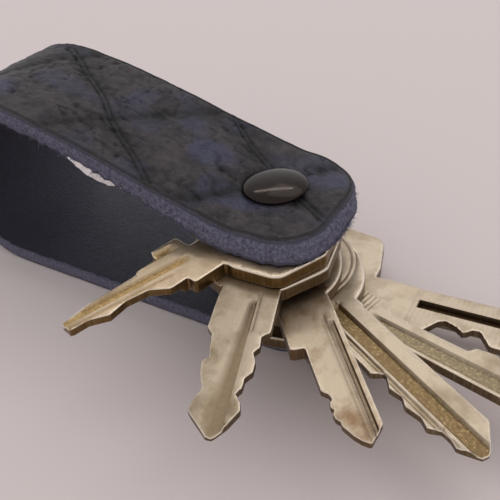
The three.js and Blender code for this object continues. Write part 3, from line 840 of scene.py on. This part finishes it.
def side_corners(key, side):
    """Corners and radii along one edge of a key from the bow to the tip: collar, step, bitting and point."""
    to, left, right = key["collar"]
    blade_left, blade_right, tip, point = key["blade"]
    collar_y = left if side > 0 else right
    blade_y = blade_left if side > 0 else blade_right
    cuts = key.get("left" if side > 0 else "right", [])
    corners = [(to, collar_y, 0.25)]
    if abs(collar_y - blade_y) > 0.02:
        corners.append((to + 0.06, blade_y, 0.3))
    corners += [(x, blade_y - side * depth, 0.22) for x, depth in cuts]
    if not cuts or cuts[-1][0] < tip - point:
        corners.append((tip - point, blade_y, 0.8))
        corners.append((tip, blade_y - side * point * 0.9, 0.5))
    return corners


def key_outline(key):
    """The whole outline, counter-clockwise: right edge to the tip, left edge back, and round the bow."""
    _, left, right = key["collar"]
    head = head_outline(key["head"])
    inside = (head[:, 0] > 0) & (head[:, 1] < left) & (head[:, 1] > right)
    bow = [(x, y, 0) for x, y in head[~inside]]
    bow[0] = (bow[0][0], left, 0.7)
    root = [(bow[-1][0], right, 0.7)]
    if "notch" in key:
        near, far, depth = key["notch"]
        bow = [p for p in bow if not (p[0] > near - NOTCH_CORNER and p[1] < 0)]
        root = [(near, bow[-1][1] + 0.3, 0.3), (near, depth, 0.3), (far, depth, 0.3), (far, right, 0.45)]
    else:
        bow = bow[:-1]
    corners = np.array(root + side_corners(key, -1) + side_corners(key, 1)[::-1] + bow)
    step = np.linalg.norm(np.roll(corners[:, :2], -1, 0) - corners[:, :2], axis=1)
    corners = corners[step > 0.02]
    return even(rounded(corners[:, :2], corners[:, 2]), 0.45)


def inset(outline, by):
    """The closed outline moved inward by its own mitred normals."""
    ahead = np.roll(outline, -1, 0) - outline
    ahead /= np.linalg.norm(ahead, axis=1)[:, None]
    behind = np.roll(ahead, 1, 0)
    left_ahead = np.stack([-ahead[:, 1], ahead[:, 0]], 1)
    left_behind = np.stack([-behind[:, 1], behind[:, 0]], 1)
    mitre = left_ahead + left_behind
    mitre /= np.maximum((mitre * left_ahead).sum(1), 0.35)[:, None]
    return outline + mitre * np.asarray(by)[:, None]


def groove_depth(x, y, grooves):
    """Depth of the milled channels at x, y: flat or leaning floors, sloping walls and rounded run-outs."""
    total = np.zeros_like(x)
    for (x0, y0, w0), (x1, y1, w1), depth, slope, lean in grooves:
        t = (x - x0) / (x1 - x0)
        middle = y0 + (y1 - y0) * t
        width = w0 + (w1 - w0) * t
        side = smooth(-np.abs(y - middle), -width / 2 - slope, -width / 2)
        across = np.clip((y - middle) / width + 0.5, 0, 1)
        side = side * (1 - lean + lean * smooth(across, -0.1, 0.85))
        total = np.maximum(total, depth * side * smooth(x, x0, x0 + run_out(slope)))
    return total


def run_out(slope):
    """Length over which a channel fades in: short where its walls are steep."""
    return np.clip(4 * slope, 0.35, 1.6)


def ring_depth(x, y, rings):
    """Depth of a bow's pressed circles at x, y: a bell curve across each line."""
    total = np.zeros_like(x)
    for middle_x, middle_y, radius, depth, width in rings:
        off = np.hypot(x - middle_x, y - middle_y) - radius
        total = np.maximum(total, depth * np.exp(-(off / width) ** 2))
    return total


def rebate_depth(x, y, start, rebates):
    """Thickness taken off from below at x, y: full beyond each line, with a short slope at it and at the
    start, just past the collar."""
    total = np.zeros_like(x)
    for side, line, depth in rebates:
        total = np.maximum(total, depth * smooth(side * (y - line), 0, REBATE_SLOPE))
    return total * smooth(x, start, start + REBATE_FADE)


def groove_rows(grooves, spacing=0.5):
    """Rows of points that follow the channels' edges, walls and floors, so that the mesh has lines there."""
    rows = []
    for (x0, y0, w0), (x1, y1, w1), _, slope, _ in grooves:
        x = np.r_[x0 + run_out(slope) * np.array([0, 0.5]), np.arange(x0 + run_out(slope), x1, spacing)]
        t = (x - x0) / (x1 - x0)
        middle = y0 + (y1 - y0) * t
        width = w0 + (w1 - w0) * t
        steps = (0, 1.0) if slope < 0.15 else (0, 0.5, 1.0)
        rows += [
            np.stack([x, middle + side * (width / 2 + slope * out)], 1) for side in (-1, 1) for out in steps
        ]
        rows += [np.stack([x, middle + share * width], 1) for share in (-0.25, 0, 0.25, 0.35)]
    return np.vstack(rows)


def distance_to(points, outline):
    """Shortest distance from each point to the closed outline's edges."""
    a = outline[None]
    b = np.roll(outline, -1, 0)[None]
    p = points[:, None]
    along = b - a
    t = np.clip(((p - a) * along).sum(-1) / (along ** 2).sum(-1), 0, 1)
    return np.linalg.norm(p - a - t[..., None] * along, axis=-1).min(1)


def inside_line(points, outline):
    """Whether each point lies inside the closed outline, by counting the edges that cross a ray from it."""
    a = outline[None]
    b = np.roll(outline, -1, 0)[None]
    p = points[:, None]
    spans = (a[..., 1] > p[..., 1]) != (b[..., 1] > p[..., 1])
    rise = np.where(np.abs(b[..., 1] - a[..., 1]) < 1e-12, 1e-12, b[..., 1] - a[..., 1])
    crosses = spans & (p[..., 0] < (b[..., 0] - a[..., 0]) * (p[..., 1] - a[..., 1]) / rise + a[..., 0])
    return crosses.sum(1) % 2 == 1


RIM_HEAD, RIM_BLADE = 0.40, 0.14  # radii of the rounded edges
RIM_ANGLES = (60, 30, 0)  # where the upper rim's rows lie; the lower rim's are the same, upside down
GRID = 0.8  # spacing of a face's points away from its channels
GRID_CLEAR = 0.35  # from those points to the channels' rows
BORE_SIDES = 40
GROOVE_FULL = 0.45  # depth at which a channel shows its floor's colour in full


def rim_radii(outline, blade_start):
    """Radius of the rounded edge at each point: the head's, falling to the blade's, and less where its inner
    line would cross itself."""
    rim = RIM_HEAD - (RIM_HEAD - RIM_BLADE) * smooth(outline[:, 0], blade_start - 2, blade_start + 3)
    for _ in range(8):
        tight = distance_to(inset(outline, rim), outline) < 0.95 * rim
        tight = tight | np.roll(tight, 1) | np.roll(tight, -1)
        rim = np.where(tight, 0.7 * rim, rim)
    return rim


def face_points(key, edge, start):
    """Points inside a key's face: rows along its channels, rebates and rings, and a staggered grid that
    stays clear of them."""
    tip = key["blade"][2]
    gx, gy = np.meshgrid(np.arange(-14, tip, GRID), np.arange(-17, 17, GRID))
    shift = GRID / 2 * (np.arange(gx.shape[0])[:, None] % 2)
    grid = np.stack([(gx + shift).ravel(), gy.ravel()], 1)
    below = [((start, line, 0.2), (tip, line, 0.2), depth, 0.3, 0) for _, line, depth in key["rebates"]]
    turn = np.linspace(0, 2 * np.pi, 150, endpoint=False)[:, None]
    circles = [
        np.hstack([x + (radius + out) * np.cos(turn), y + (radius + out) * np.sin(turn)])
        for x, y, radius, _, width in key.get("rings", []) for out in (-1.5 * width, 0, 1.5 * width)
    ]
    rows = np.vstack([groove_rows(key["grooves"]), groove_rows(below), *circles])
    clear = np.linalg.norm(grid[:, None] - rows[None], axis=-1).min(1) > GRID_CLEAR
    inner = np.vstack([rows, grid[clear]])
    inner = inner[np.hypot(inner[:, 0], inner[:, 1]) > KEY_BORE + 0.3]
    inner = inner[inside_line(inner, edge) & (distance_to(inner, edge) > 0.09)]
    return inner[np.unique(np.round(inner / 0.03), axis=0, return_index=True)[1]]


def triangulated(edge, bore, inner):
    """The face between the rim's inner line and the bore: its points, its triangles, and the numbers of the
    rim's and the bore's points. A triangle of three rim points lies outside if it meets them in the rim's
    backward order, and one of three bore points lies in the bore."""
    n, m = len(edge), len(bore)
    flat = np.vstack([edge, bore, inner])
    links = [(i, (i + 1) % n) for i in range(n)] + [(n + i, n + (i + 1) % m) for i in range(m)]
    places, _, triangles, origin, _, _ = delaunay_2d_cdt(
        [Vector(q) for q in flat.tolist()], links, [], 0, 1e-5, True
    )
    places = np.array([tuple(q) for q in places])
    triangles = np.array([t for t in triangles if len(t) == 3])
    number = np.full(len(flat), -1)
    for new, old in enumerate(origin):
        number[list(old)] = new
    ring, hole = number[:n], number[n:n + m]
    on_rim = np.full(len(places), -1)
    on_rim[ring] = np.arange(n)
    in_bore = np.zeros(len(places), bool)
    in_bore[hole] = True
    first, second, third = on_rim[triangles].T
    backward = (second - first) % n > (third - first) % n
    outside = (first >= 0) & (second >= 0) & (third >= 0) & backward
    return places, triangles[~outside & ~in_bore[triangles].all(1)], ring, hole


def build_key(name, key, material):
    """A flat key: its face triangulated, raised to the upper side and lowered to the under side, and joined
    by rounded rims and upright cut walls round the outline and in the bore."""
    outline = key_outline(key)
    head = key["head"]
    front = head["front"] if head["kind"] == "angular" else head["middle_x"] + head["x"]
    rim = rim_radii(outline, front)
    edge = inset(outline, rim)
    turn = np.linspace(0, 2 * np.pi, BORE_SIDES, endpoint=False)
    bore = np.stack([KEY_BORE * np.cos(turn), KEY_BORE * np.sin(turn)], 1)
    start = key["collar"][0] + REBATE_START
    places, triangles, ring, hole = triangulated(edge, bore, face_points(key, edge, start))

    def top(q):
        grooves = groove_depth(q[:, 0], q[:, 1], key["grooves"])
        return KEY_THICKNESS - np.maximum(grooves, ring_depth(q[:, 0], q[:, 1], key.get("rings", [])))

    def bottom(q):
        return rebate_depth(q[:, 0], q[:, 1], start, key["rebates"])

    def rim_row(angle, surface, way):
        line = inset(outline, rim * (1 - math.cos(angle)))
        return np.column_stack([line, surface(line) - way * rim * (1 - math.sin(angle))])

    n, count = len(edge), len(places)
    rows = [rim_row(math.radians(angle), top, 1) for angle in RIM_ANGLES]
    rows += [rim_row(math.radians(angle), bottom, -1) for angle in RIM_ANGLES[::-1]]
    sides = [np.column_stack([places, height(places)]) for height in (top, bottom)]
    points = np.vstack(sides + rows)
    order = np.vstack([ring, 2 * count + np.arange(len(rows) * n).reshape(-1, n), ring + count])
    after = np.roll(order, -1, axis=1)
    walls = np.stack([order[:-1], order[1:], after[1:], after[:-1]], -1).reshape(-1, 4)
    turned_hole = np.roll(hole, -1)
    bore_wall = np.stack([hole, turned_hole, turned_hole + count, hole + count], 1)
    faces = triangles.tolist() + (triangles + count)[:, ::-1].tolist() + walls.tolist() + bore_wall.tolist()

    # what the metal reads at each point: its place, how far it is in a channel, how much painted shade it
    # takes as a wall, and how polished it is with how much painted highlight
    cut, wall, polish_and_highlight = np.zeros((3, len(points)))
    cut[:count] = groove_depth(places[:, 0], places[:, 1], key["grooves"]) / GROOVE_FULL
    # painted shade: the upright walls take the dark wall tone in full, the lower rim more than the upper rim
    wall[2 * count:] = np.repeat([0.0, 0.2, 1.0, 1.0, 0.6, 0.3], n)
    # painted highlight, on top of real polish: the upper rim takes the pale colour in full, the lower rim
    # less and the face's rim line half
    polish_and_highlight[2 * count:] = np.repeat([1.0, 1.0, 0.2, 0.2, 0.6, 0.6], n)
    polish_and_highlight[ring] = 0.5
    swing = math.radians(key["swing"])
    turning = np.array([[math.cos(swing), math.sin(swing)], [-math.sin(swing), math.cos(swing)]])
    placed = points.copy()
    placed[:, :2] = points[:, :2] @ turning + (PIVOT_X, 0)
    placed[:, 2] += key["level"]
    made = piece(
        name.replace("_key", "_blank"), placed, faces, material, name + "_body",
        {"place": points, "cut": np.clip(cut, 0, 1), "wall": wall, "polish_and_highlight": polish_and_highlight}, sharp=28,
    )
    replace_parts(made, name)


def key_metal(name, key, face, tarnish, shaded_wall_tone, dirt, roughness):
    """Nickel silver or brass, rolled, stamped, milled and carried for years: a satin face with fine
    lengthways brushing and cloudy tarnish, polished rims with a painted highlight, brightest on the upper
    rim, streaked sheared walls darkened by painted shade, and stained milled cuts with painted glints."""
    material, surface = new_material(name)
    place = node(material, "ShaderNodeAttribute", out="Vector", attribute_name="place")
    cutting, wall, polish_and_highlight = (
        node(material, "ShaderNodeAttribute", out="Fac", attribute_name=label)
        for label in ("cut", "wall", "polish_and_highlight")
    )
    long_way = node(material, "ShaderNodeMapping", dict(Vector=place, Scale=(0.35, 5.0, 1.0)))
    upright = node(material, "ShaderNodeMapping", dict(Vector=place, Scale=(1.0, 1.0, 0.08)))
    brushing, streaks, cloud, speck = (
        node(material, "ShaderNodeTexNoise", dict(Vector=where, Scale=scale, Detail=detail, Roughness=rough))
        for where, scale, detail, rough in (
            (long_way, 1.6, 4, 0.65), (upright, 3.2, 4, 0.7), (place, 0.22, 5, 0.6), (place, 2.2, 5, 0.8),
        )
    )
    marks = node(
        material, "ShaderNodeTexWave", dict(Vector=place, Scale=0.42, Distortion=1.2, Detail=2), "Fac",
        wave_type="BANDS", bands_direction="X",
    )
    tone = coat(material, srgb(face), srgb(tarnish), cloud, 0.42, 0.66, dirt)
    spotted = coat(material, tone, srgb(tarnish), speck, 0.58, 0.72, 0.5)
    stained = coat(material, srgb(key["floor"]), srgb("4a3a26"), speck, 0.45, 0.68, key["pits"])
    # painted glints: bright golden specks on the channel floors, beside the real dark pits
    glinting = coat(material, stained, srgb("cdb68a"), speck, 0.46, 0.34, key["pits"])
    faces = coat(material, spotted, glinting, cutting)
    # painted shade: the walls' dark tone, over real shear streaks
    sheared = coat(material, srgb(shaded_wall_tone), srgb(tarnish), streaks, 0.42, 0.66)
    # the faces with the walls' painted shade laid in
    worn = coat(material, faces, sheared, wall)
    gloss = node(material, "ShaderNodeMapRange", [brushing, 0, 1, roughness - 0.1, roughness + 0.14])
    relief = node(material, "ShaderNodeBump", dict(Height=brushing, Strength=0.35, Distance=0.00005))
    along = node(material, "ShaderNodeSeparateXYZ", dict(Vector=place), "X")
    first, last = key["milled"]
    begun = node(material, "ShaderNodeMapRange", [along, first - 0.4, first])
    unfinished = node(material, "ShaderNodeMapRange", [along, last, last + 0.4, 1, 0])
    within = node(material, "ShaderNodeMath", [begun, unfinished], operation="MULTIPLY")
    ripples = node(material, "ShaderNodeMath", [marks, within], operation="MULTIPLY")
    chatter = node(
        material, "ShaderNodeBump",
        dict(Height=ripples, Strength=key["milling"], Distance=0.00006, Normal=relief),
    )
    fill(material, surface, {
        # painted highlight: the rims are lightened towards e3d8c8
        "Base Color": coat(material, worn, srgb("e3d8c8"), polish_and_highlight, 0.3, 1.0, 0.6),
        "Metallic": 1,
        "Roughness": node(material, "ShaderNodeMath", [polish_and_highlight, -0.2, gloss], operation="MULTIPLY_ADD"),
        "Normal": node(
            material, "ShaderNodeBump", dict(Height=speck, Strength=0.5, Distance=0.00008, Normal=chatter),
        ),
    })
    return material


# each metal's face, tarnish and dirt are its own colours; the dark wall tone is painted shade
TONES = {
    "pale": dict(face="b3a591", tarnish="85755f", shaded_wall_tone="68573e", dirt=0.7, roughness=0.36),
    "dull": dict(face="a69884", tarnish="75664f", shaded_wall_tone="5f4e38", dirt=0.85, roughness=0.40),
    "rosy": dict(face="afa08b", tarnish="7e664d", shaded_wall_tone="64523b", dirt=0.95, roughness=0.36),
    "gold": dict(face="b9a68c", tarnish="80694a", shaded_wall_tone="6b5432", dirt=0.6, roughness=0.32),
}
for key_name, key in KEYS.items():
    metal = key_metal(key_name.replace("_key", "_metal"), key, **TONES[key["metal"]])
    build_key(key_name, key, metal)
